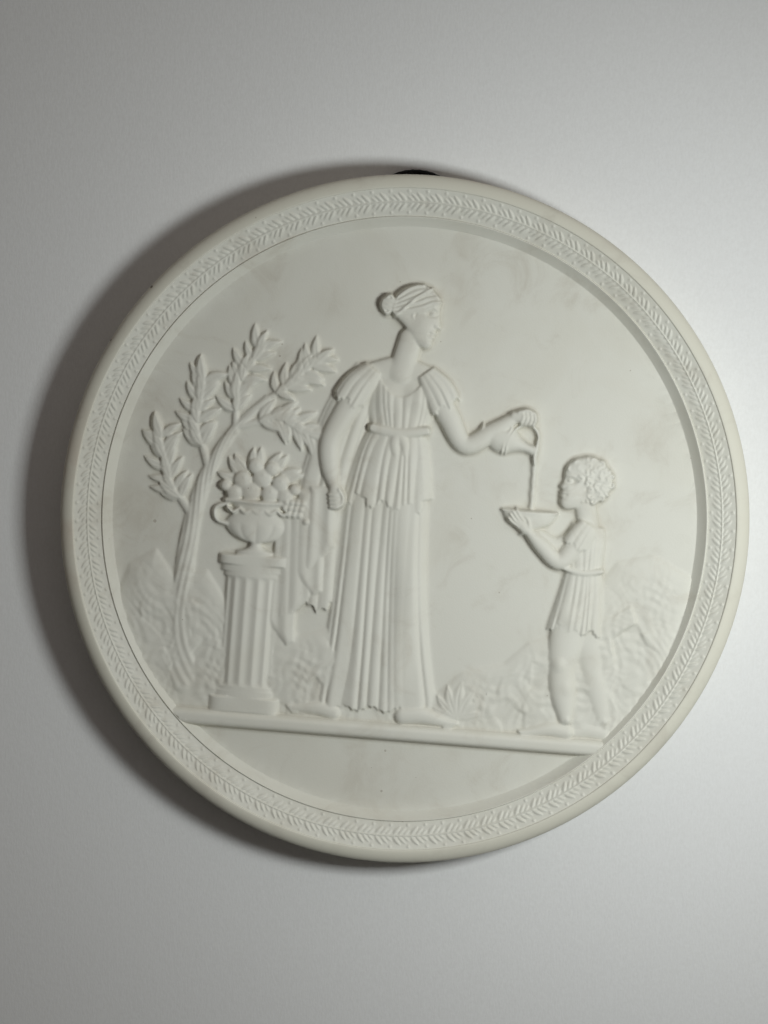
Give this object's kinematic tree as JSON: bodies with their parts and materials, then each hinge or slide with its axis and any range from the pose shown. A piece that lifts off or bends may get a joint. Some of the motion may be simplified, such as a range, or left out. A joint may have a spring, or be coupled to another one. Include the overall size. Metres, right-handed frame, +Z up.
{
  "type": "relief wall plaque",
  "caption": "Round unglazed porcelain wall plaque with a carved classical group, a leaf border, a plain rim and a black cord loop to hang it by.",
  "frame": {"origin": "top middle of the foot ring's flat back face, where the plaque touches the wall", "axes": "+Z up, -Y out of the wall towards the viewer, +X to the right as seen from the front"},
  "size_m": [0.29, 0.0215, 0.2943],
  "materials": {
    "porcelain": "matte unglazed biscuit, faintly stained",
    "cord": "braided black cord"
  },
  "bodies": {
    "root": {"plaque": "porcelain", "hanging_cord": "cord", "cord_knot_left": "cord", "cord_knot_right": "cord"}
  },
  "joints": []
}
